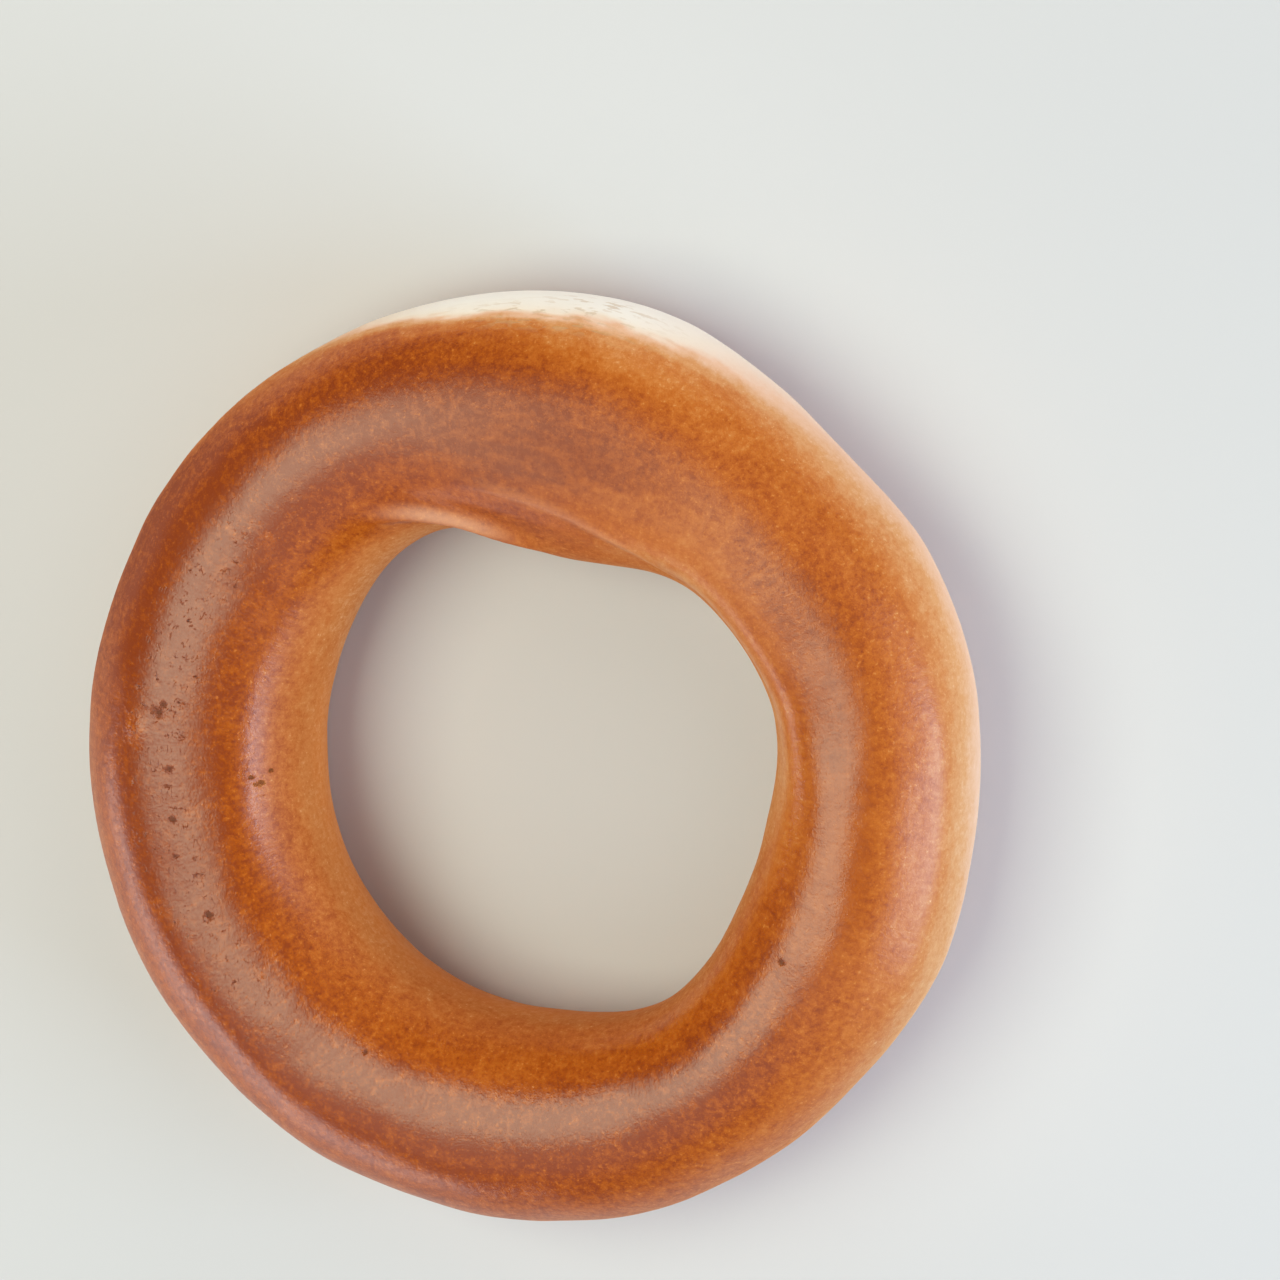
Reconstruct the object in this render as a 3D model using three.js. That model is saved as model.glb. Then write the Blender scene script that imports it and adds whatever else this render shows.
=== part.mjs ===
// A bublik: a ring of boiled and baked bread dough, lying on its flat underside.
// Millimetres, +Z up. The origin is under the middle of the ring, on the surface that it lies on.
// Angles are in degrees, anticlockwise from +X as seen from above.

import * as THREE from "three";
import { ParametricGeometry } from "three/addons/geometries/ParametricGeometry.js";

// Driving sizes of the even ring.
const RING_RADIUS = 40.7; // from the ring's middle to the middle of its rope of dough
const ROPE_WIDTH = 25;
const ROPE_HEIGHT = 24;
const WIDEST_LEVEL = 0.46; // share of the height at which the rope is widest
const CROWN_FULLNESS = 2.1; // 2 makes the crown half an ellipse, more makes it squarer
const BASE_TURN = 50; // degrees of the flank below the widest level, down to the flat base

// Fineness of the surface.
const STEPS_ROUND_RING = 120;
const STEPS_OVER_ARCH = 28;
const STEPS_ACROSS_BASE = 4;

// Where the hand-rolled rope is uneven. Each place swells or thins the even ring around one angle:
// outer and inner move its two sides away from the ring's middle, and crown raises its top.
const UNEVEN_PLACES = [
  { name: "joint where the rope's ends overlap", at: 79, spread: 19, outer: 1.2, inner: -3.6, crown: 0.8 },
  { name: "dent beside the joint", at: 48, spread: 10, outer: -1.6, inner: 1, crown: 0 },
  { name: "corner of the hole beside the joint", at: 120, spread: 14, outer: 0, inner: 1.4, crown: 0 },
  { name: "thin stretch", at: 16, spread: 20, outer: 0, inner: 2, crown: -0.8 },
  { name: "flattened flank", at: 355, spread: 12, outer: -1.1, inner: -0.5, crown: 0 },
  { name: "fat stretch across from it", at: 176, spread: 34, outer: 0.3, inner: -2.4, crown: 0.4 },
  { name: "bowed far side", at: 264, spread: 26, outer: 0.3, inner: 0.8, crown: 0 },
  { name: "corner of the hole on the far side", at: 301, spread: 14, outer: 0, inner: 2.2, crown: 0 },
  { name: "flat beside that corner", at: 316, spread: 14, outer: -1.1, inner: 0.4, crown: 0 },
];

const CRUST_COLOUR = 0xb8733f;

// How strongly a place acts at an angle: 1 in its middle, fading smoothly to 0 around it.
function strength(angle, place) {
  const halfTurn = 180;
  const away = THREE.MathUtils.euclideanModulo(angle - place.at + halfTurn, 2 * halfTurn) - halfTurn;
  return Math.exp(-0.5 * (away / place.spread) ** 2);
}

// The even value of one side, with what the uneven places add to it at this angle.
function uneven(evenValue, side, angle) {
  return UNEVEN_PLACES.reduce((sum, place) => sum + place[side] * strength(angle, place), evenValue);
}

// A power that keeps the sign, which turns a circle's sine and cosine into a squarer arch.
function signedPower(value, exponent) {
  return Math.sign(value) * Math.abs(value) ** exponent;
}

// The arch of the section, from the base's outer rim (share 0) over the crown to its inner rim (1).
// across is -1 to 1 over the rope's width, and up is the height over the base.
function arch(share, height) {
  const baseTurn = THREE.MathUtils.degToRad(BASE_TURN);
  const turn = THREE.MathUtils.lerp(-baseTurn, Math.PI + baseTurn, share);
  const widest = WIDEST_LEVEL * height;
  if (Math.sin(turn) < 0) {
    return { across: Math.cos(turn), up: widest * (1 + Math.sin(turn) / Math.sin(baseTurn)) };
  }
  const exponent = 2 / CROWN_FULLNESS;
  return {
    across: signedPower(Math.cos(turn), exponent),
    up: widest + (height - widest) * signedPower(Math.sin(turn), exponent),
  };
}

// The flat base, from its inner rim (share 0) back to its outer rim (1).
function base(share) {
  const rim = Math.cos(THREE.MathUtils.degToRad(BASE_TURN));
  return { across: THREE.MathUtils.lerp(-rim, rim, share), up: 0 };
}

// One point of the closed section, with aroundSection going from 0 to 1.
function section(aroundSection, height) {
  const archPart = STEPS_OVER_ARCH / (STEPS_OVER_ARCH + STEPS_ACROSS_BASE);
  if (aroundSection <= archPart) {
    return arch(aroundSection / archPart, height);
  }
  return base((aroundSection - archPart) / (1 - archPart));
}

// One point of the crust: the section at this angle, between the ring's uneven sides.
function crustPoint(aroundRing, aroundSection, target) {
  const turn = aroundRing * 2 * Math.PI;
  const angle = THREE.MathUtils.radToDeg(turn);
  const outerEdge = uneven(RING_RADIUS + ROPE_WIDTH / 2, "outer", angle);
  const innerEdge = uneven(RING_RADIUS - ROPE_WIDTH / 2, "inner", angle);
  const point = section(aroundSection, uneven(ROPE_HEIGHT, "crown", angle));
  const radius = (outerEdge + innerEdge) / 2 + (point.across * (outerEdge - innerEdge)) / 2;
  target.set(radius * Math.cos(turn), radius * Math.sin(turn), point.up);
}

function crustMaterial() {
  return new THREE.MeshStandardMaterial({ color: CRUST_COLOUR, roughness: 0.45, metalness: 0 });
}

// The whole ring is one piece of bread, moved so that the origin is under the middle of its outline.
function bublik() {
  const sectionSteps = STEPS_OVER_ARCH + STEPS_ACROSS_BASE;
  const geometry = new ParametricGeometry(crustPoint, STEPS_ROUND_RING, sectionSteps);
  geometry.computeBoundingBox();
  const middle = geometry.boundingBox.getCenter(new THREE.Vector3());
  const ring = new THREE.Mesh(geometry, crustMaterial());
  ring.name = "bublik";
  ring.position.set(-middle.x, -middle.y, 0);
  return ring;
}

const model = new THREE.Group();
model.add(bublik());

export default model;
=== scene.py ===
"""A bublik, a boiled and baked ring of bread, lying on a pale table.

Everything is in metres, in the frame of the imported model. A place on the ring is given by two
angles in degrees. The ring angle goes anticlockwise from +X as seen from above. The section angle
goes round the core of the rope of dough: 0 is outward, 90 is up, 180 is the hole and 270 is down.
"""

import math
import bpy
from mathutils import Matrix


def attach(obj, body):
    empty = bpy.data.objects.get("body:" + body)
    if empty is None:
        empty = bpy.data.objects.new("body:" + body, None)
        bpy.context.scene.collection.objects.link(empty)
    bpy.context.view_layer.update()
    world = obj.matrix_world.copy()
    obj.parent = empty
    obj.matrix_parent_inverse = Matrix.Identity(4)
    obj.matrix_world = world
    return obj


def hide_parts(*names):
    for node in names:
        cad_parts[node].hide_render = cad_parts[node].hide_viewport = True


bl_info = {
    "name": "Bublik",
    "version": (1, 0, 0),
    "blender": (4, 5, 0),
    "location": "3D View > Sidebar > Bublik",
    "description": "Bakes a ring of bread and lays it on a table under soft light",
    "category": "Object",
}

import bpy
from bpy.props import FloatProperty, FloatVectorProperty, IntProperty, PointerProperty
from mathutils import Matrix, Vector

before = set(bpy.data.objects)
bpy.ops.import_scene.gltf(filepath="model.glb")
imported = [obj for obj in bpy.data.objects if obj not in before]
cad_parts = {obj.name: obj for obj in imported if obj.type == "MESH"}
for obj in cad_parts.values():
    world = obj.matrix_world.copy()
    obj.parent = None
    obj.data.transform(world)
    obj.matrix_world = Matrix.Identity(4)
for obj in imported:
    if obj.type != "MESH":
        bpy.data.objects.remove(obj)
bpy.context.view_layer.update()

MM = 0.001
QUARTER_TURN, HALF_TURN, FULL_TURN = 90.0, 180.0, 360.0

# The circle that the core of the rope follows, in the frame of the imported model.
RING_MIDDLE = Vector((0.628 * MM, -0.37 * MM, 11 * MM))
CORE_RADIUS = 40.7 * MM

# The crust unrolled: the ring angle stays on the core's circle, and the section angle becomes a
# height, as on a rope of this radius.
UNROLLED_ROPE_RADIUS = 12 * MM


# ---------------------------------------------------------------------------------------------
# Node trees written as formulas
# ---------------------------------------------------------------------------------------------


def find_socket(sockets, place):
    """A socket by its number, or the first one in use that has this name."""
    if isinstance(place, int):
        return sockets[place]
    return next(one for one in sockets if one.name == place and one.enabled)


class Wire:
    """One output of a node, which goes into formulas as a number does."""

    def __init__(self, graph, socket):
        self.graph = graph
        self.socket = socket

    def also(self, name):
        """Another output of the same node."""
        return Wire(self.graph, find_socket(self.socket.node.outputs, name))

    def __add__(self, other):
        return self.graph.math("ADD", self, other)

    def __sub__(self, other):
        return self.graph.math("SUBTRACT", self, other)

    def __rsub__(self, other):
        return self.graph.math("SUBTRACT", other, self)

    def __mul__(self, other):
        return self.graph.math("MULTIPLY", self, other)

    def __truediv__(self, other):
        return self.graph.math("DIVIDE", self, other)


class Graph:
    """Adds nodes to one tree and joins them. It serves geometry trees and shader trees alike."""

    def __init__(self, tree):
        self.tree = tree

    def node(self, kind, inputs=None, **settings):
        """A new node with these settings and inputs. Gives the wire of its first output in use."""
        made = self.tree.nodes.new(kind)
        for name, value in settings.items():
            setattr(made, name, value)
        for place, value in (inputs or {}).items():
            self.feed(find_socket(made.inputs, place), value)
        return Wire(self, next((one for one in made.outputs if one.enabled), None))

    def feed(self, socket, value):
        """Joins a wire to a socket, or sets the socket to a value."""
        if isinstance(value, Wire):
            self.tree.links.new(value.socket, socket)
        else:
            socket.default_value = value

    def math(self, operation, *values):
        return self.node("ShaderNodeMath", dict(enumerate(values)), operation=operation)

    def vector(self, operation, *values):
        return self.node("ShaderNodeVectorMath", dict(enumerate(values)), operation=operation)

    def scaled(self, vector, factor):
        return self.node("ShaderNodeVectorMath", {0: vector, "Scale": factor}, operation="SCALE")

    def combine(self, x, y, z):
        return self.node("ShaderNodeCombineXYZ", {"X": x, "Y": y, "Z": z})

    def total_of(self, terms):
        """The sum of several wires."""
        total = terms[0]
        for term in terms[1:]:
            total = total + term
        return total

    def weighted(self, patterns, weights, unit=1.0):
        """The sum of the patterns that the weights name, each times its weight."""
        return self.total_of([patterns[name] * (weight * unit) for name, weight in weights.items()])

    def full_degrees(self, turn):
        """Radians as degrees from 0 to 360."""
        return self.math("FLOORED_MODULO", self.math("DEGREES", turn), FULL_TURN)

    def smooth(self, value, start, end, at_start=0.0, at_end=1.0):
        """Goes smoothly from at_start, where value is start, to at_end, where it is end."""
        if start > end:
            start, end, at_start, at_end = end, start, at_end, at_start
        limits = {"From Min": start, "From Max": end, "To Min": at_start, "To Max": at_end}
        limits["Value"] = value
        return self.node("ShaderNodeMapRange", limits, interpolation_type="SMOOTHSTEP")

    def bell(self, distance, spread):
        """1 at no distance, falling off smoothly: 0.6 at one spread and 0.1 at two."""
        share = distance / spread
        return self.math("EXPONENT", share * share * -0.5)

    def noise(self, place, size, seed=None, detail=1.0, roughness=0.5):
        """Smooth noise with blobs of this size, from about -1 to 1. A seed gives another pattern."""
        inputs = {"Vector": place, "Scale": 1 / size, "Detail": detail, "Roughness": roughness}
        dimensions = "3D"
        if seed is not None:
            inputs["W"] = seed
            dimensions = "4D"
        return self.node("ShaderNodeTexNoise", inputs, noise_dimensions=dimensions) * 2.0 - 1.0

    def curve(self, value, points):
        """A smooth curve through (value, height) points, level beyond both ends."""
        first, last = points[0][0], points[-1][0]
        lowest = min(height for _, height in points)
        highest = max(height for _, height in points)
        wire = self.node("ShaderNodeFloatCurve", {"Value": (value - first) / (last - first)})
        mapping = wire.socket.node.mapping
        mapping.extend = "HORIZONTAL"
        shape = mapping.curves[0]
        for _ in points[2:]:
            shape.points.new(0.5, 0.5)
        for point, (at, height) in zip(shape.points, points):
            point.location = ((at - first) / (last - first), (height - lowest) / (highest - lowest))
        mapping.update()
        return wire * (highest - lowest) + lowest

    def mix(self, share, first, second):
        """Blends two colours."""
        inputs = {"Factor": share, "A": first, "B": second}
        return self.node("ShaderNodeMix", inputs, data_type="RGBA")

    def colour_ramp(self, value, stops):
        """A colour that changes with a value from 0 to 1, through (value, colour) stops."""
        wire = self.node("ShaderNodeValToRGB", {"Fac": value})
        elements = wire.socket.node.color_ramp.elements
        while len(elements) < len(stops):
            elements.new(1.0)
        for element, (position, colour) in zip(elements, stops):
            element.position = position
            element.color = colour
        return wire


# ---------------------------------------------------------------------------------------------
# The crust's shape
# ---------------------------------------------------------------------------------------------


class RingPlaces:
    """The two angles of each point of the ring, and shapes that are laid out by them."""

    def __init__(self, graph, ring, section):
        self.graph = graph
        self.ring = ring
        self.section = section

    def away(self, angle, middle):
        """Degrees from a middle angle, from -180 to 180, without a jump at the full turn."""
        return self.graph.math("FLOORED_MODULO", angle - middle + HALF_TURN, FULL_TURN) - HALF_TURN

    def spot(self, ring, section, ring_spread, section_spread):
        """1 at this place and fading round it."""
        along = self.away(self.ring, ring) / ring_spread
        across = self.away(self.section, section) / section_spread
        return self.graph.math("EXPONENT", (along * along + across * across) * -0.5)

    def changed_at(self, value, spots, unit=1.0):
        """The value with what each spot adds: two angles, their two spreads, and the change."""
        for ring, section, ring_spread, section_spread, change in spots:
            spot = self.spot(ring, section, ring_spread, section_spread)
            value = value + spot * (change * unit)
        return value

    def between(self, angle, start, end, fade):
        """1 between two angles, fading out beyond them."""
        half = (end - start) / 2
        distance = self.graph.math("ABSOLUTE", self.away(angle, (start + end) / 2))
        return self.graph.smooth(distance, half - fade / 2, half + fade / 2, 1.0, 0.0)

    def stretch(self, ring_from, ring_to, fade):
        """1 between two ring angles."""
        return self.between(self.ring, ring_from, ring_to, fade)

    def band(self, section_from, section_to, fade):
        """1 between two section angles."""
        return self.between(self.section, section_from, section_to, fade)

    def line_level(self, line):
        """Section angle of a line drawn over the crust through (ring, section) points."""
        first = line[0][0]
        unrolled_line = [(ring - first, section) for ring, section in line]
        return self.graph.curve(self.away(self.ring, first), unrolled_line)

    def past_down(self):
        """The section angle counted on from straight down, from 0 to 360."""
        return self.graph.math("FLOORED_MODULO", self.section + QUARTER_TURN, FULL_TURN)

    def round_rope(self, points):
        """A value that changes round the rope, through (section, value) points from -90 to 270."""
        return self.graph.curve(self.past_down() - QUARTER_TURN, points)


# The lip where one end of the rope is pressed over the other, and the thin seam beside it, through
# (ring, section) points.
LIP_LINE = ((80, 154), (86, 150), (92, 146), (98, 142), (104, 137), (112, 131), (119, 126))
SEAM_LINE = (
    (48, 146),
    (54, 138),
    (60, 132),
    (66, 129),
    (72, 126),
    (80, 123),
    (88, 121),
    (97, 118),
)

# A ridge or a groove beside each line: degrees of section past it, spread in degrees, and height
# in shares of the fold height.
LIP_PROFILE = ((3.0, 4.2, 2.2), (-7.0, 5.0, -0.2))
SEAM_PROFILE = ((0.0, 1.8, 0.35), (5.0, 3.0, -0.3))

# The shelf between the seam and the hole rises and falls between these section angles.
SHELF_RISE = (92, 123)
SHELF_FALL = (146, 125)
SHELF_HEIGHT = 1.6

# Where the joint's parts are along the ring: from, to, and the width of the fade at each end.
LIP_REACH = (86, 114, 20)
SEAM_REACH = (48, 96, 12)
SHELF_REACH = (12, 96, 44)

# A small blister: ring angle, section angle and their spreads, and its share of the fold height.
BLISTER = (175, 78, 1.3, 4.0)
BLISTER_HEIGHT = 0.5

# The section angles between which the underside is flat, and the width of the fade.
UNDERSIDE = (226, 314, 8)

# Swells and dents of the hand-rolled rope: ring angle, section angle, their spreads, and height
# in millimetres.
SWELLS = (
    (354, 36, 20, 9, 0.55),
    (182, 126, 20, 9, 0.25),
    (128, 106, 20, 13, -0.45),
    (107, 164, 8, 13, -0.9),
    (222, 40, 24, 11, 0.35),
    (228, 74, 18, 10, 0.3),
)


def crust_tree():
    """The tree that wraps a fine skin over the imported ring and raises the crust's relief on it."""
    tree = bpy.data.node_groups.new("bublik_crust", "GeometryNodeTree")
    for name, kind in (
        ("Packed Ring", "NodeSocketObject"),
        ("Core Middle", "NodeSocketVector"),
        ("Core Radius", "NodeSocketFloat"),
        ("Steps Round Ring", "NodeSocketInt"),
        ("Steps Round Rope", "NodeSocketInt"),
        ("Lump Height", "NodeSocketFloat"),
        ("Pebble Height", "NodeSocketFloat"),
        ("Fold Height", "NodeSocketFloat"),
        ("Base Roughness", "NodeSocketFloat"),
        ("Crust", "NodeSocketMaterial"),
    ):
        tree.interface.new_socket(name=name, in_out="INPUT", socket_type=kind)
    tree.interface.new_socket(name="Mesh", in_out="OUTPUT", socket_type="NodeSocketGeometry")
    graph = Graph(tree)
    given = graph.node("NodeGroupInput")
    skin, places = wrapped_skin(graph, given)
    offset = relief(graph, given, places)
    skin = graph.node("GeometryNodeSetPosition", {"Geometry": skin, "Offset": offset})
    skin = with_crust_values(graph, skin, places)
    skin = with_unrolled_map(graph, skin, places)
    skin = graph.node("GeometryNodeSetShadeSmooth", {"Geometry": skin})
    skin = graph.node("GeometryNodeRealizeInstances", {"Geometry": skin})
    skin = graph.node("GeometryNodeSetMaterial", {"Geometry": skin, "Material": given.also("Crust")})
    graph.node("NodeGroupOutput", {"Mesh": skin})
    return tree


def stored(graph, geometry, name, value, kind="FLOAT", domain="POINT"):
    """The geometry with a value kept on it under a name."""
    inputs = {"Geometry": geometry, "Name": name, "Value": value}
    return graph.node("GeometryNodeStoreNamedAttribute", inputs, data_type=kind, domain=domain)


def recalled(graph, name, kind="FLOAT"):
    """The wire that reads a value kept on the geometry."""
    return graph.node("GeometryNodeInputNamedAttribute", {"Name": name}, data_type=kind)


def wrapped_skin(graph, given):
    """An even tube round the core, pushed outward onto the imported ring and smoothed."""
    tube_radius = 1 * MM
    farthest_crust = 50 * MM
    smoothing_steps = 24
    core = graph.node(
        "GeometryNodeCurvePrimitiveCircle",
        {"Resolution": given.also("Steps Round Ring"), "Radius": given.also("Core Radius")},
        mode="RADIUS",
    )
    round_rope = graph.node(
        "GeometryNodeCurvePrimitiveCircle",
        {"Resolution": given.also("Steps Round Rope"), "Radius": tube_radius},
        mode="RADIUS",
    )
    tube = graph.node("GeometryNodeCurveToMesh", {"Curve": core, "Profile Curve": round_rope})
    place = graph.node("GeometryNodeInputPosition")
    split = graph.node("ShaderNodeSeparateXYZ", {"Vector": place})
    outward = graph.vector("NORMALIZE", graph.combine(split, split.also("Y"), 0.0))
    ray = graph.vector("SUBTRACT", place, graph.scaled(outward, given.also("Core Radius")))
    ring_turn = graph.math("ARCTAN2", split.also("Y"), split)
    across = graph.vector("DOT_PRODUCT", ray, outward)
    section_turn = graph.math("ARCTAN2", split.also("Z"), across)
    tube = stored(graph, tube, "ring_angle", graph.full_degrees(ring_turn))
    tube = stored(graph, tube, "section_angle", graph.full_degrees(section_turn))
    tube = stored(graph, tube, "outward_ray", ray, "FLOAT_VECTOR")
    ray = recalled(graph, "outward_ray", "FLOAT_VECTOR")
    shift = {"Geometry": tube, "Translation": given.also("Core Middle")}
    tube = graph.node("GeometryNodeTransform", shift)
    packed = graph.node("GeometryNodeObjectInfo", {"Object": given.also("Packed Ring")})
    hit = graph.node(
        "GeometryNodeRaycast",
        {
            "Target Geometry": packed.also("Geometry"),
            "Source Position": graph.vector("SUBTRACT", place, ray),
            "Ray Direction": ray,
            "Ray Length": farthest_crust,
        },
    ).also("Hit Position")
    skin = graph.node("GeometryNodeSetPosition", {"Geometry": tube, "Position": hit})
    blur = {"Value": place, "Iterations": smoothing_steps}
    even = graph.node("GeometryNodeBlurAttribute", blur, data_type="FLOAT_VECTOR")
    skin = graph.node("GeometryNodeSetPosition", {"Geometry": skin, "Position": even})
    ring, section = recalled(graph, "ring_angle"), recalled(graph, "section_angle")
    return skin, RingPlaces(graph, ring, section)


def relief(graph, given, places):
    """How far each point of the smooth skin moves, along its normal."""
    narrow_lump_share = 0.35
    place = graph.node("GeometryNodeInputPosition")
    wide_lumps = graph.noise(place, 15 * MM, seed=3.1, detail=0.0)
    narrow_lumps = graph.noise(place, 7 * MM, seed=8.4, detail=0.0)
    pebbles = graph.noise(place, 2.6 * MM, seed=5.2)
    height = (wide_lumps + narrow_lumps * narrow_lump_share) * given.also("Lump Height")
    height = height + pebbles * given.also("Pebble Height")
    height = places.changed_at(height, SWELLS, MM)
    height = height + folds(graph, places) * given.also("Fold Height")
    base = places.band(*UNDERSIDE)
    crumbs = graph.noise(place, 2.2 * MM, seed=1.7, detail=3.0, roughness=0.6) + 1.0
    height = height * (1.0 - base) - base * crumbs * given.also("Base Roughness")
    return graph.scaled(graph.node("GeometryNodeInputNormal"), height)


def folds(graph, places):
    """The joint's lip, seam and shelf, and a blister, in shares of the fold height."""
    lip = beside_line(graph, places, LIP_LINE, LIP_PROFILE) * places.stretch(*LIP_REACH)
    seam = beside_line(graph, places, SEAM_LINE, SEAM_PROFILE) * places.stretch(*SEAM_REACH)
    blister = places.spot(*BLISTER) * BLISTER_HEIGHT
    rise = graph.smooth(places.section, *SHELF_RISE)
    shelf = rise * graph.smooth(places.section, *SHELF_FALL)
    shelf = shelf * places.stretch(*SHELF_REACH) * SHELF_HEIGHT
    return lip + seam + blister + shelf


def beside_line(graph, places, line, profile):
    """The ridges and grooves beside a line over the crust."""
    past_line = places.section - places.line_level(line)
    parts = [graph.bell(past_line - at, spread) * height for at, spread, height in profile]
    return graph.total_of(parts)


# How browned the crust is round the rope, from 0 for raw dough to 1: section angle and browning.
# One side of the ring browned more than the other.
BROWNED_SIDE = (
    (-90, 0.36),
    (-62, 0.34),
    (-48, 0.24),
    (-20, 0.28),
    (0, 0.42),
    (20, 0.66),
    (36, 0.84),
    (56, 0.90),
    (76, 0.96),
    (90, 1.00),
    (104, 0.98),
    (116, 0.91),
    (132, 0.82),
    (148, 0.70),
    (164, 0.58),
    (184, 0.48),
    (210, 0.34),
    (226, 0.26),
    (242, 0.34),
    (270, 0.36),
)
PALE_SIDE = (
    (-90, 0.36),
    (-62, 0.33),
    (-48, 0.22),
    (-20, 0.21),
    (4, 0.28),
    (20, 0.35),
    (30, 0.43),
    (40, 0.58),
    (52, 0.70),
    (72, 0.78),
    (92, 0.84),
    (108, 0.74),
    (124, 0.58),
    (133, 0.45),
    (148, 0.41),
    (176, 0.38),
    (210, 0.30),
    (226, 0.24),
    (242, 0.33),
    (270, 0.36),
)

# How rough the crust's surface is round the rope: section angle and roughness.
ROUGHNESS_ROUND_ROPE = (
    (-90, 0.90),
    (-30, 0.80),
    (8, 0.62),
    (30, 0.40),
    (46, 0.31),
    (84, 0.27),
    (124, 0.28),
    (138, 0.44),
    (152, 0.76),
    (172, 0.90),
    (270, 0.90),
)

# Places that are rougher or smoother than that: ring angle, section angle, their spreads, change.
DULL_PLACES = (
    (72, 100, 26, 26, 0.32),
    (352, 94, 40, 16, -0.05),
    (135, 14, 28, 16, 0.28),
    (150, 38, 16, 12, 0.35),
    (15, 148, 34, 9, 0.22),
    (346, 56, 42, 20, 0.15),
)

# The paler side along the ring: from, to, and the width of the fade at each end.
PALE_REACH = (-45, 68, 46)

# The cream patch, where the crust hardly browned: its upper edge through (ring, section) points,
# and where it is along the ring.
CREAM_EDGE = ((42, 8), (54, 22), (66, 30), (80, 36), (92, 36), (104, 31), (114, 22), (128, 4))
CREAM_REACH = (60, 116, 38)

# Places that browned more or less than that: ring angle, section angle, their spreads, change.
BROWNED_PLACES = (
    (45, 104, 13, 24, -0.13),
    (64, 56, 12, 16, -0.03),
    (77, 47, 12, 9, -0.28),
    (334, 133, 13, 16, 0.24),
    (60, 147, 20, 9, 0.12),
    (0, 60, 16, 8, -0.05),
    (180, 46, 22, 10, -0.08),
    (150, 56, 26, 16, 0.05),
    (270, 122, 18, 12, -0.10),
    (313, 138, 13, 12, -0.12),
    (95, 134, 16, 12, 0.08),
    (120, 158, 14, 12, -0.12),
    (328, 14, 18, 18, 0.10),
    (26, 22, 14, 14, 0.08),
    (330, 52, 14, 8, -0.05),
    (303, 50, 14, 12, -0.07),
    (320, 140, 18, 10, 0.06),
    (205, 150, 16, 10, 0.06),
    (182, 118, 14, 6, 0.10),
    (32, 92, 14, 40, 0.06),
    (58, 116, 12, 10, 0.05),
    (106, 108, 10, 11, -0.09),
    (92, 122, 10, 8, -0.06),
    (120, 26, 9, 12, -0.15),
    (148, 40, 16, 13, 0.11),
    (212, 38, 26, 10, -0.06),
    (92, 88, 12, 10, -0.03),
    (45, 60, 20, 34, 0.03),
)

# Mottles: size, seed, and change of the browning.
MOTTLES = ((14 * MM, 2.0, 0.05), (4 * MM, 6.0, 0.07), (1.9 * MM, 5.0, 0.08))

# Streaks along the rope: the spot where they are strongest, how much more they change the browning
# there, and how much they change it everywhere.
STREAKED_SPOT = (80, 106, 22, 18)
STREAKED_CHANGE = 0.18
STREAKS_CHANGE = 0.04

# A painted highlight along the crests of the lip and the seam, made as a paler line of crust:
# the line, its spread in degrees, its reach along the ring, and its strength.
PAINTED_HIGHLIGHT_LINES = (
    (LIP_LINE, 2.6, (92, 113, 16), 1.0),
    (SEAM_LINE, 1.8, (58, 92, 16), 0.35),
)
PAINTED_HIGHLIGHT_CHANGE = 0.14


def browning(places):
    """How browned the crust is at each point, from 0 for pale dough to 1, with a painted highlight.
    """
    graph = places.graph
    total = places.round_rope(BROWNED_SIDE)
    total = total + (places.round_rope(PALE_SIDE) - total) * places.stretch(*PALE_REACH)
    total = places.changed_at(total, BROWNED_PLACES)
    place = graph.node("GeometryNodeInputPosition")
    section = places.past_down() - QUARTER_TURN
    streaks = rope_streaks(graph, place, section)
    into_cream = cream_share(places, place, section, streaks)
    cream_tone = graph.smooth(section, 12, 34, 0.0, 0.06)
    total = total * (1.0 - into_cream) + into_cream * cream_tone
    mottles = [graph.noise(place, size, seed) * change for size, seed, change in MOTTLES]
    streaked = places.spot(*STREAKED_SPOT) * STREAKED_CHANGE + STREAKS_CHANGE
    mottles = graph.total_of(mottles) + streaks * streaked
    # Lowers the browning along the lip and seam crests, as a painted highlight there.
    total = total - painted_highlight_lines(places) * PAINTED_HIGHLIGHT_CHANGE
    return total + mottles * graph.smooth(total, 0.05, 0.75)


def rope_streaks(graph, place, section):
    """Noise drawn out along the rope, from about -1 to 1."""
    drawn_out = 0.22
    length_of_degree = 0.21 * MM
    around = graph.node("ShaderNodeSeparateXYZ", {"Vector": place})
    turned = graph.math("ARCTAN2", around.also("Y"), around) * CORE_RADIUS
    streaked_place = graph.combine(turned * drawn_out, section * length_of_degree, 0.0)
    return graph.noise(streaked_place, 1.2 * MM, seed=4.0, detail=2.0, roughness=0.6)


def cream_share(places, place, section, streaks):
    """1 in the cream patch and 0 outside it, with a ragged and streaked edge."""
    graph = places.graph
    ragged_degrees, streaked_degrees = 6.0, 9.0
    ragged = graph.noise(place, 3 * MM, seed=7.0, detail=3.0, roughness=0.6)
    edge = places.line_level(CREAM_EDGE)
    past_edge = section + ragged * ragged_degrees + streaks * streaked_degrees - edge
    share = graph.smooth(past_edge, 12.0, -13.0) * places.stretch(*CREAM_REACH)
    return share * graph.smooth(section, -40, -10)


def painted_highlight_lines(places):
    """The painted highlight along the crests of the lip and the seam, from 0 to 1."""
    graph = places.graph
    highlight_lines = []
    for line, spread, reach, strength in PAINTED_HIGHLIGHT_LINES:
        past_line = places.section - places.line_level(line)
        highlight_lines.append(graph.bell(past_line, spread) * places.stretch(*reach) * strength)
    return graph.total_of(highlight_lines)


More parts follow.
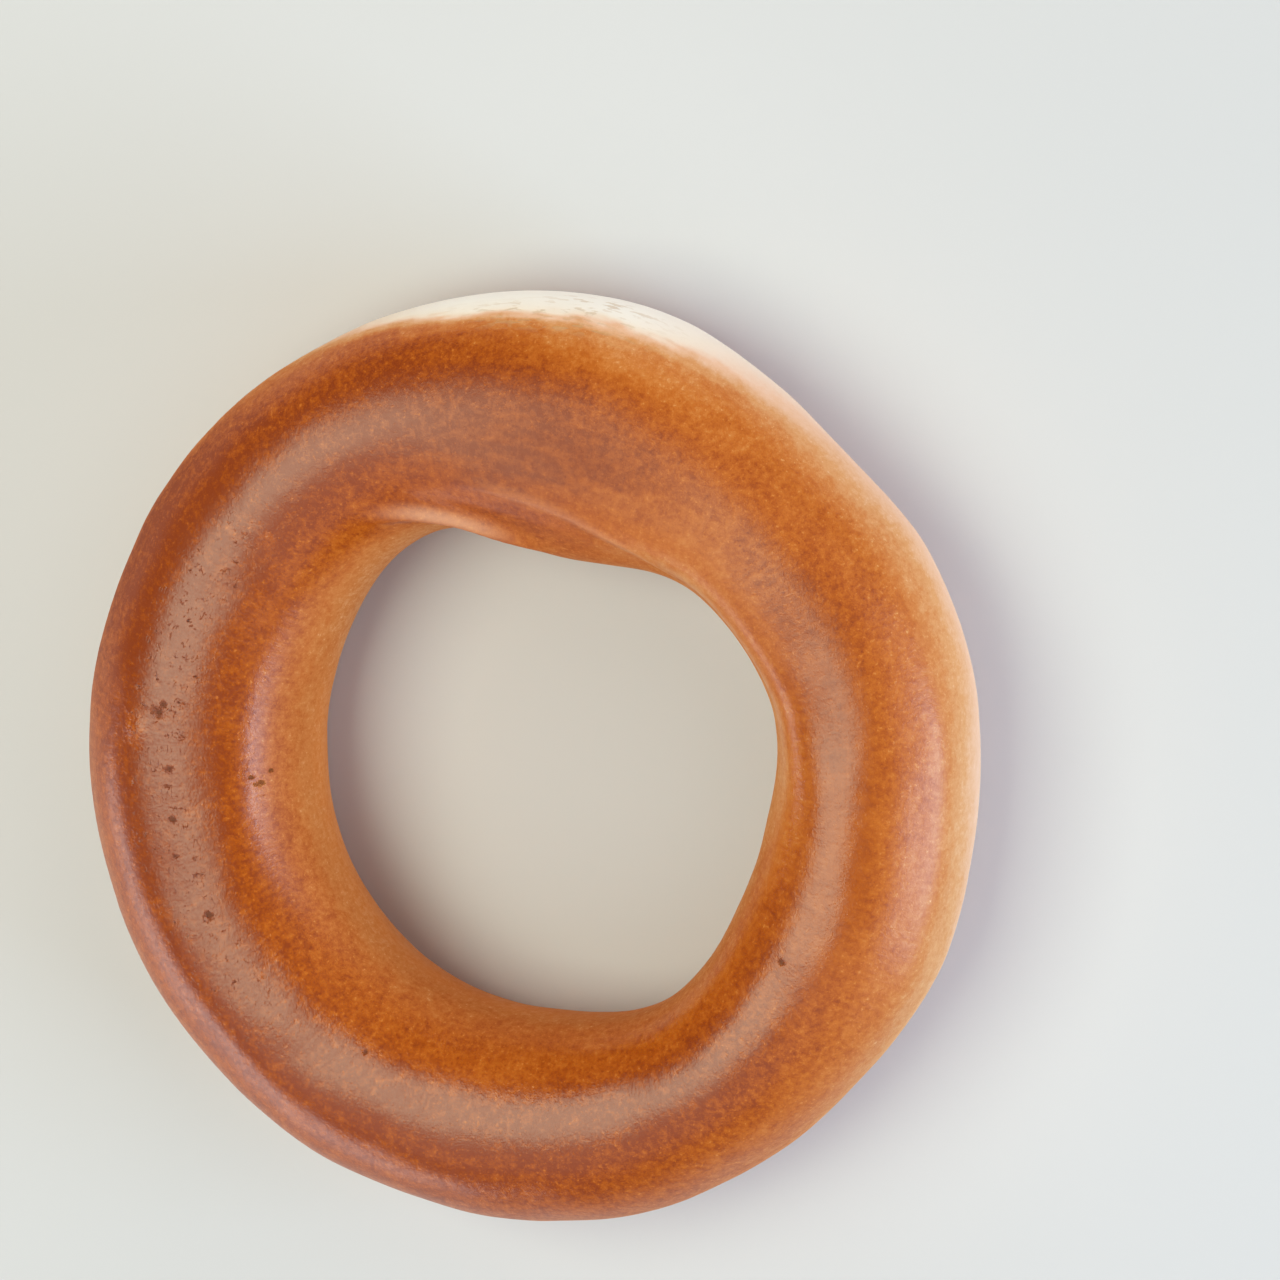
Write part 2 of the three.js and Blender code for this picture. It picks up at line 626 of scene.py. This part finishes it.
def with_crust_values(graph, skin, places):
    """Keeps on the mesh what the crust's material reads at each point."""
    left_crown = places.stretch(142, 222, 34)
    calm_crown = left_crown * 0.8 + places.stretch(-30, 30, 34)
    plateau = places.spot(80, 104, 20, 18)
    pore_rows = [places.spot(79, 12, 5, 4), places.spot(85, 25, 8, 4), places.spot(84, 36, 8, 3)]
    values = {
        "browning": browning(places),
        "pitting": left_crown * places.band(72, 106, 16) + places.spot(184, 138, 4, 6),
        "even": calm_crown * places.band(76, 106, 18) + plateau,
        "drawn": plateau,
        # The painted highlight along the crests of the lip and the seam.
        "rim": painted_highlight_lines(places),
        # Warmer crust inside the hole, with painted warm bounce light in it.
        "amber": places.band(174, 230, 24) * places.stretch(160, 330, 40),
        "flaky": places.spot(175, 77, 2.2, 4.5) + places.spot(186, 141, 3.0, 4.0) * 0.5,
        "pores": graph.total_of(pore_rows),
        "roughness": places.changed_at(places.round_rope(ROUGHNESS_ROUND_ROPE), DULL_PLACES),
    }
    for name, value in values.items():
        skin = stored(graph, skin, name, value)
    ring_turn = graph.math("RADIANS", places.ring)
    along_rope = graph.combine(
        graph.math("COSINE", ring_turn) * CORE_RADIUS,
        graph.math("SINE", ring_turn) * CORE_RADIUS,
        graph.math("RADIANS", places.past_down()) * UNROLLED_ROPE_RADIUS,
    )
    return stored(graph, skin, "along_rope", along_rope, "FLOAT_VECTOR")


def with_unrolled_map(graph, skin, places):
    """A map in two rows, each with half of the ring unrolled, that no face crosses."""

    def middle_of_face(angle):
        """The angle of the face's middle, from 0 to 360."""
        turn = graph.math("RADIANS", angle)
        arrow = graph.combine(graph.math("COSINE", turn), graph.math("SINE", turn), 0.0)
        even = graph.node(
            "GeometryNodeFieldOnDomain", {"Value": arrow}, data_type="FLOAT_VECTOR", domain="FACE"
        )
        split = graph.node("ShaderNodeSeparateXYZ", {"Vector": even})
        return graph.full_degrees(graph.math("ARCTAN2", split.also("Y"), split))

    ring_margin, rope_margin = 0.003, 0.01
    down = 270.0
    ring_middle = middle_of_face(places.ring)
    ring = places.away(places.ring, ring_middle) + ring_middle
    row = graph.math("FLOOR", ring_middle / HALF_TURN)
    across = (ring / HALF_TURN - row) * (1 - 2 * ring_margin) + ring_margin
    section = places.section - down
    section_middle = middle_of_face(section)
    section = places.away(section, section_middle) + section_middle
    up = (section / FULL_TURN * (1 - 2 * rope_margin) + rope_margin + row) * 0.5
    return stored(graph, skin, "OFBake", graph.combine(across, up, 0.0), "FLOAT2", "CORNER")


# ---------------------------------------------------------------------------------------------
# The crust's finish
# ---------------------------------------------------------------------------------------------


# Single pits of the shown side: ring angle, section angle, and half width in millimetres.
LONE_PITS = (
    (331.5, 102, 0.40),
    (171.5, 89, 0.62),
    (170.2, 91, 0.34),
    (181, 96, 0.42),
    (189.5, 95, 0.40),
    (195.5, 92, 0.30),
    (206.5, 98, 0.45),
    (243.5, 111, 0.30),
    (183, 135, 0.34),
    (184.5, 139, 0.42),
    (182, 145, 0.32),
)


# The browning at which each colour of the crust is reached.
TONES = (
    (0.0, "cream"),
    (0.10, "ivory"),
    (0.22, "peach"),
    (0.38, "golden"),
    (0.52, "orange"),
    (0.66, "russet"),
    (0.82, "brown"),
    (1.0, "dark"),
)

# How much each pattern changes the browning.
TONE_WEIGHTS = {
    "grain": 0.46,
    "pale fleck": -0.20,
    "dark fleck": 0.14,
    "combed": 0.06,
    "wrinkle noise": 0.07,
}

# How high each pattern stands out of the crust, in millimetres.
PATTERN_HEIGHTS = {
    "grain": 0.024,
    "combed": 0.006,
    "pale fleck": 0.008,
    "pit": -0.12,
    "wrinkle": -0.05,
    "pore": -0.06,
}
FLAKY_HEIGHT = 0.10
PITTED_HEIGHT = 0.02

# The values on the mesh that the material reads as numbers.
KEPT_VALUES = (
    "browning",
    "pitting",
    "even",
    "drawn",
    "rim",
    "amber",
    "flaky",
    "pores",
    "roughness",
)


def unrolled(ring, section):
    """A place on the ring in the unrolled coordinates that the mesh carries as along_rope."""
    turn = math.radians(ring)
    return Vector(
        (
            CORE_RADIUS * math.cos(turn),
            CORE_RADIUS * math.sin(turn),
            UNROLLED_ROPE_RADIUS * math.radians((section + QUARTER_TURN) % FULL_TURN),
        )
    )


def crust_material(look):
    """Glazed crust: browned unevenly, speckled and pitted, with fine grain in the gloss."""
    material = bpy.data.materials.new("bublik_crust")
    material.use_nodes = True
    material.node_tree.nodes.clear()
    graph = Graph(material.node_tree)
    kept = {}
    for name in KEPT_VALUES:
        kept[name] = graph.node("ShaderNodeAttribute", attribute_name=name).also("Fac")
    along_rope = graph.node("ShaderNodeAttribute", attribute_name="along_rope").also("Vector")
    patterns = crust_patterns(graph, kept, along_rope)
    colour = crust_colour(graph, kept, patterns, look)
    uneven = kept["flaky"] * (FLAKY_HEIGHT * MM) + kept["pitting"] * (PITTED_HEIGHT * MM)
    height = graph.weighted(patterns, PATTERN_HEIGHTS, MM) + patterns["pit noise"] * uneven
    bump = graph.node("ShaderNodeBump", {"Strength": 1.0, "Distance": 1.0, "Height": height})
    roughness = kept["roughness"] + patterns["pit"] * 0.5 + patterns["grain"] * 0.08
    surface = graph.node(
        "ShaderNodeBsdfPrincipled",
        {"Base Color": colour, "Roughness": roughness, "IOR": 1.52, "Normal": bump},
    )
    graph.node("ShaderNodeOutputMaterial", {"Surface": surface})
    return material


def crust_patterns(graph, kept, along_rope):
    """The fine patterns of the crust by name. Grain, combing and noises go from about -1 to 1."""
    place = graph.node("ShaderNodeTexCoord").also("Object")
    grain = graph.noise(place, 0.9 * MM, detail=3.0, roughness=0.85)
    fleck_noise = graph.noise(place, 0.40 * MM)
    pit_place = graph.vector("MULTIPLY", along_rope, (1.0, 1.0, 0.7))
    pit_noise = graph.noise(pit_place, 1.0 * MM, detail=3.0, roughness=0.7)
    # Wrinkles are the level lines of a noise drawn out along the rope, and pores are its peaks.
    drawn_out = graph.vector("MULTIPLY", along_rope, (0.4, 0.4, 1.0))
    wrinkle_noise = graph.noise(drawn_out, 0.8 * MM)
    level_line = graph.smooth(graph.math("ABSOLUTE", wrinkle_noise), 0.07, 0.0)
    pore_noise = graph.noise(drawn_out, 0.5 * MM)
    # Fine combing runs across the rope.
    combed_place = graph.vector("MULTIPLY", along_rope, (1.0, 1.0, 0.2))
    return {
        "grain": grain,
        "pale fleck": graph.smooth(fleck_noise + kept["flaky"] * 0.3, 0.22, 0.55),
        "dark fleck": graph.smooth(fleck_noise, -0.30, -0.60),
        "pit noise": pit_noise,
        "pit": pits(graph, kept["pitting"], along_rope, pit_noise, grain),
        "wrinkle noise": wrinkle_noise,
        "wrinkle": level_line * graph.smooth(pit_noise, 0.0, 0.3) * kept["pitting"],
        "pore noise": pore_noise,
        "pore": graph.smooth(pore_noise + grain * 0.3, 0.06, 0.30) * kept["pores"],
        "combed": graph.noise(combed_place, 0.45 * MM, detail=0.0),
    }


def pits(graph, pitting, along_rope, pit_noise, grain):
    """Pits in the crowded places, and the single ones, with uneven rims."""
    pit = graph.smooth(pit_noise, 0.27, 0.55) * graph.smooth(pitting, 0.1, 0.6)
    ragged = grain * 2.25
    for ring, section, half_width in LONE_PITS:
        apart = graph.vector("SUBTRACT", along_rope, unrolled(ring, section))
        reach = graph.vector("LENGTH", apart).also("Value") / (half_width * MM)
        pit = graph.math("MAXIMUM", pit, graph.smooth(reach + ragged, 1.3, 0.1))
    return pit


def crust_colour(graph, kept, patterns, look):
    """The crust's colour from its browning, with a painted highlight on the rims, warm crust and
    painted bounce light in the hole, and dark crust and painted shade in pits and pores.
    """
    browned = kept["browning"]
    uneven = graph.weighted(patterns, TONE_WEIGHTS) * (1.0 - kept["even"] * 0.6)
    drawn = (patterns["wrinkle noise"] + patterns["pore noise"]) * kept["drawn"] * 0.10
    uneven = (uneven + drawn) * graph.smooth(browned, 0.05, 1.0)
    tone = browned + uneven - kept["flaky"] * 0.10
    colour = graph.colour_ramp(tone, [(at, (*getattr(look, name), 1)) for at, name in TONES])
    for share, shade in (
        # Warmer crust and painted warm bounce light inside the hole.
        (kept["amber"] * 0.35, look.amber),
        # Painted highlight along the crests of the lip and the seam.
        (kept["rim"] * 0.38, look.rim),
        # Dark crust in pits and wrinkles, with their shade painted in.
        (patterns["pit"] * 0.7 + patterns["wrinkle"] * 0.35, look.pit),
        # Browner crust in the pores, with their shade painted in.
        (patterns["pore"] * 0.5, look.pore),
    ):
        colour = graph.mix(share, colour, (*shade, 1))
    return colour


def plain_material(name, colour, roughness):
    """A material of one colour."""
    material = bpy.data.materials.new(name)
    material.use_nodes = True
    shader = material.node_tree.nodes["Principled BSDF"]
    shader.inputs["Base Color"].default_value = (*colour, 1)
    shader.inputs["Roughness"].default_value = roughness
    return material


# ---------------------------------------------------------------------------------------------
# Settings
# ---------------------------------------------------------------------------------------------


class RingShape(bpy.types.PropertyGroup):
    core_radius: FloatProperty(
        name="Core radius",
        description="Radius of the circle that the rope's core follows",
        default=CORE_RADIUS,
        unit="LENGTH",
        precision=5,
    )
    steps_round_ring: IntProperty(
        name="Steps round ring", description="Faces along the rope", default=560, min=90
    )
    steps_round_rope: IntProperty(
        name="Steps round rope", description="Faces round the rope", default=176, min=24
    )
    lump_height: FloatProperty(
        name="Lump height",
        description="How uneven the dough is, over a centimetre or so",
        default=0.4 * MM,
        unit="LENGTH",
        precision=5,
    )
    pebble_height: FloatProperty(
        name="Pebble height",
        description="Height of the small waves of the crust",
        default=0.03 * MM,
        unit="LENGTH",
        precision=5,
    )
    fold_height: FloatProperty(
        name="Fold height",
        description="Height of the lip where the rope's ends are joined",
        default=0.6 * MM,
        unit="LENGTH",
        precision=5,
    )
    base_roughness: FloatProperty(
        name="Base roughness",
        description="Depth of the crumbly texture of the underside",
        default=0.12 * MM,
        unit="LENGTH",
        precision=5,
    )


class CrustColours(bpy.types.PropertyGroup):
    cream: FloatVectorProperty(
        name="Cream",
        description="Crust that hardly browned",
        subtype="COLOR",
        default=(0.88, 0.82, 0.78),
    )
    ivory: FloatVectorProperty(
        name="Ivory",
        description="Pale crust",
        subtype="COLOR",
        default=(0.83, 0.68, 0.57),
    )
    peach: FloatVectorProperty(
        name="Peach",
        description="Lightly baked crust",
        subtype="COLOR",
        default=(0.76, 0.45, 0.30),
    )
    golden: FloatVectorProperty(
        name="Golden",
        description="Golden crust",
        subtype="COLOR",
        default=(0.62, 0.27, 0.095),
    )
    orange: FloatVectorProperty(
        name="Orange",
        description="Well baked crust",
        subtype="COLOR",
        default=(0.53, 0.165, 0.030),
    )
    russet: FloatVectorProperty(
        name="Russet",
        description="Browned crust",
        subtype="COLOR",
        default=(0.46, 0.11, 0.009),
    )
    brown: FloatVectorProperty(
        name="Brown",
        description="Well browned crust",
        subtype="COLOR",
        default=(0.36, 0.068, 0.002),
    )
    dark: FloatVectorProperty(
        name="Dark",
        description="Most browned crust",
        subtype="COLOR",
        default=(0.235, 0.034, 0.001),
    )
    # Warmer crust inside the hole, with painted warm bounce light in it.
    amber: FloatVectorProperty(
        name="Amber",
        description="Warmer crust inside the hole",
        subtype="COLOR",
        default=(0.82, 0.22, 0.02),
    )
    # Colour of the painted highlight along the crests of the lip and the seam.
    rim: FloatVectorProperty(
        name="Rims",
        description="Crest of the lip and the seam",
        subtype="COLOR",
        default=(0.80, 0.48, 0.34),
    )
    # Dark crust in pits and cracks, with their shade painted in.
    pit: FloatVectorProperty(
        name="Pits",
        description="Inside of pits and cracks",
        subtype="COLOR",
        default=(0.07, 0.02, 0.007),
    )
    # Browner crust in the pores of the pale crust, with their shade painted in.
    pore: FloatVectorProperty(
        name="Pores",
        description="Long pores of the pale crust",
        subtype="COLOR",
        default=(0.50, 0.30, 0.14),
    )


class Studio(bpy.types.PropertyGroup):
    view_tilt: FloatProperty(
        name="View tilt",
        description="How far the camera leans away from straight above",
        default=math.radians(20),
        subtype="ANGLE",
    )
    view_side: FloatProperty(
        name="View side",
        description="Direction that the camera leans in, anticlockwise from +X",
        default=math.radians(30),
        subtype="ANGLE",
    )
    view_distance: FloatProperty(
        name="View distance",
        description="From the camera to the middle of the ring",
        default=0.62,
        unit="LENGTH",
    )
    key_strength: FloatProperty(
        name="Key",
        description="Brightness of the large soft light",
        default=4.75,
    )
    strip_strength: FloatProperty(
        name="Strip",
        description="Brightness of the light at the right",
        default=13.5,
    )
    back_strength: FloatProperty(
        name="Back",
        description="Brightness of the low light behind",
        default=9.0,
    )
    side_strength: FloatProperty(
        name="Side",
        description="Brightness of the wide light behind",
        default=1.25,
    )
    right_strength: FloatProperty(
        name="Right",
        description="Brightness of the low light at the right",
        default=2.6,
    )
    fill_strength: FloatProperty(
        name="Fill",
        description="Brightness of the wide light in front",
        default=4.2,
    )
    top_strength: FloatProperty(
        name="Top",
        description="Brightness of the broad light above",
        default=0.8,
    )
    room_strength: FloatProperty(
        name="Room",
        description="Brightness of the room around",
        default=0.1,
    )


# ---------------------------------------------------------------------------------------------
# Operators
# ---------------------------------------------------------------------------------------------


# What the crust may hold, in cubic metres.
LEAST_VOLUME, MOST_VOLUME = 1.0e-4, 1.5e-4


def check_crust(mesh):
    """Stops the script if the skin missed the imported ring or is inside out."""
    six_times_volume = 0.0
    for face in mesh.polygons:
        first, *others = [mesh.vertices[index].co for index in face.vertices]
        for second, third in zip(others, others[1:]):
            six_times_volume += first.dot(second.cross(third))
    volume = six_times_volume / 6
    if not LEAST_VOLUME < volume < MOST_VOLUME:
        raise RuntimeError(f"the crust holds {volume * 1e6:.1f} cubic centimetres, not about 130")


class BUBLIK_OT_bake_ring(bpy.types.Operator):
    """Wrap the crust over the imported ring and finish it"""

    bl_idname = "bublik.bake_ring"
    bl_label = "Bake ring"

    def execute(self, context):
        shape = context.scene.bublik_shape
        material = crust_material(context.scene.bublik_colours)
        tree = crust_tree()
        maker = bpy.data.objects.new("bublik_maker", bpy.data.meshes.new("bublik_maker"))
        context.scene.collection.objects.link(maker)
        modifier = maker.modifiers.new("crust", "NODES")
        modifier.node_group = tree
        inputs = {
            "Packed Ring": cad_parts["bublik"],
            "Core Middle": RING_MIDDLE,
            "Core Radius": shape.core_radius,
            "Steps Round Ring": shape.steps_round_ring,
            "Steps Round Rope": shape.steps_round_rope,
            "Lump Height": shape.lump_height,
            "Pebble Height": shape.pebble_height,
            "Fold Height": shape.fold_height,
            "Base Roughness": shape.base_roughness,
            "Crust": material,
        }
        for item in tree.interface.items_tree:
            if item.in_out == "INPUT":
                modifier[item.identifier] = inputs[item.name]
        depsgraph = context.evaluated_depsgraph_get()
        mesh = bpy.data.meshes.new_from_object(
            maker.evaluated_get(depsgraph), preserve_all_data_layers=True, depsgraph=depsgraph
        )
        check_crust(mesh)
        maker.modifiers.remove(modifier)
        bpy.data.objects.remove(maker)
        crust = bpy.data.objects.new("bublik_crust", mesh)
        context.scene.collection.objects.link(crust)
        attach(crust, "root")
        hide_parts("bublik")
        return {"FINISHED"}


def aim(position, target, up=Vector((0, 1, 0))):
    """The placing of a light or camera that looks from one point at another."""
    back = (position - target).normalized()
    right = up.cross(back).normalized()
    turned = Matrix((right, back.cross(right), back)).transposed()
    return Matrix.Translation(position) @ turned.to_4x4()


# The lights: name, direction from the ring as side and height in degrees, distance, width and
# height in metres, tint, and whether the gloss shows them.
LAMPS = (
    ("key", 168, 69, 0.6, (0.46, 0.46), (0.93, 1.0, 0.78), True),
    ("strip", -12, 16, 0.7, (0.46, 0.24), (0.55, 0.8, 1.0), True),
    ("fill", 220, 7, 1.2, (1.4, 0.27), (1, 1, 1), True),
    ("top", 262, 52, 0.9, (1.3, 0.5), (1, 1, 1), True),
    ("back", 82, 8, 0.7, (0.4, 0.16), (1, 0.98, 0.9), False),
    ("side", 38, 38, 0.9, (0.8, 0.6), (1, 0.92, 0.8), False),
    ("right", -35, 18, 0.7, (0.5, 0.2), (1, 1, 1), False),
)

TABLE_COLOUR = (0.60, 0.57, 0.61)
TABLE_ROUGHNESS = 0.7


def soft_light(name, side, height, distance, size, tint, strength):
    """A soft rectangle of light that faces the ring and that the camera doesn't see."""
    side, height = math.radians(side), math.radians(height)
    level = math.cos(height)
    direction = Vector((level * math.cos(side), level * math.sin(side), math.sin(height)))
    light = bpy.data.lights.new(name, "AREA")
    light.shape = "RECTANGLE"
    light.size, light.size_y = size
    light.energy = strength * math.pi * size[0] * size[1]
    light.color = tint
    lamp = bpy.data.objects.new(name, light)
    lamp.matrix_world = aim(RING_MIDDLE + direction * distance, RING_MIDDLE, Vector((0, 0, 1)))
    lamp.visible_camera = False
    bpy.context.scene.collection.objects.link(lamp)
    return lamp


class BUBLIK_OT_set_table(bpy.types.Operator):
    """Lay the table, hang the lights and set up the camera"""

    bl_idname = "bublik.set_table"
    bl_label = "Set table"

    def execute(self, context):
        studio = context.scene.bublik_studio
        self.lay_table(context)
        self.hang_lights(context, studio)
        self.place_camera(context, studio)
        return {"FINISHED"}

    def lay_table(self, context):
        steps, radius = 96, 4.0
        turns = [2 * math.pi * step / steps for step in range(steps)]
        rim = [(radius * math.cos(turn), radius * math.sin(turn), 0) for turn in turns]
        mesh = bpy.data.meshes.new("table")
        mesh.from_pydata(rim, [], [tuple(range(steps))])
        mesh.materials.append(plain_material("table", TABLE_COLOUR, TABLE_ROUGHNESS))
        table = bpy.data.objects.new("table", mesh)
        context.scene.collection.objects.link(table)

    def hang_lights(self, context, studio):
        for name, side, height, distance, size, tint, in_gloss in LAMPS:
            strength = getattr(studio, name + "_strength")
            lamp = soft_light(name, side, height, distance, size, tint, strength)
            lamp.visible_glossy = in_gloss
        world = bpy.data.worlds.new("room")
        context.scene.world = world
        world.use_nodes = True
        background = world.node_tree.nodes["Background"]
        background.inputs["Color"].default_value = (1, 1, 1, 1)
        background.inputs["Strength"].default_value = studio.room_strength
        context.scene.view_settings.view_transform = "Standard"

    def place_camera(self, context, studio):
        picture_width = 1280
        ring_in_picture = (532, 763)
        pixels_per_metre = 8750.0
        film_width = 36.0
        above_middle = 0.04 * MM
        lean = math.sin(studio.view_tilt)
        across, along = lean * math.cos(studio.view_side), lean * math.sin(studio.view_side)
        back = Vector((across, along, math.cos(studio.view_tilt)))
        turn = aim(back, Vector((0, 0, 0)))
        right = (ring_in_picture[0] - picture_width / 2) / pixels_per_metre
        down = (ring_in_picture[1] - picture_width / 2) / pixels_per_metre
        middle = RING_MIDDLE + Vector((0, 0, above_middle))
        camera_data = bpy.data.cameras.new("camera")
        camera_data.sensor_width = film_width
        camera_data.lens = film_width * studio.view_distance * pixels_per_metre / picture_width
        camera = bpy.data.objects.new("camera", camera_data)
        offset = turn.to_3x3() @ Vector((-right, down, studio.view_distance))
        camera.matrix_world = Matrix.Translation(middle + offset) @ turn.to_3x3().to_4x4()
        context.scene.collection.objects.link(camera)
        context.scene.camera = camera


class BUBLIK_PT_panel(bpy.types.Panel):
    bl_label = "Bublik"
    bl_idname = "BUBLIK_PT_panel"
    bl_space_type = "VIEW_3D"
    bl_region_type = "UI"
    bl_category = "Bublik"

    def draw(self, context):
        layout = self.layout
        scene = context.scene
        for title, settings, operator in (
            ("Ring", (scene.bublik_shape, scene.bublik_colours), BUBLIK_OT_bake_ring),
            ("Studio", (scene.bublik_studio,), BUBLIK_OT_set_table),
        ):
            box = layout.box()
            box.label(text=title)
            for group in settings:
                for name in group.__annotations__:
                    box.prop(group, name)
            box.operator(operator.bl_idname)


CLASSES = (
    RingShape,
    CrustColours,
    Studio,
    BUBLIK_OT_bake_ring,
    BUBLIK_OT_set_table,
    BUBLIK_PT_panel,
)


def register():
    for one in CLASSES:
        bpy.utils.register_class(one)
    bpy.types.Scene.bublik_shape = PointerProperty(type=RingShape)
    bpy.types.Scene.bublik_colours = PointerProperty(type=CrustColours)
    bpy.types.Scene.bublik_studio = PointerProperty(type=Studio)


def unregister():
    del bpy.types.Scene.bublik_studio
    del bpy.types.Scene.bublik_colours
    del bpy.types.Scene.bublik_shape
    for one in reversed(CLASSES):
        bpy.utils.unregister_class(one)


def main():
    register()
    bpy.ops.bublik.bake_ring()
    bpy.ops.bublik.set_table()


if __name__ == "__main__":
    main()
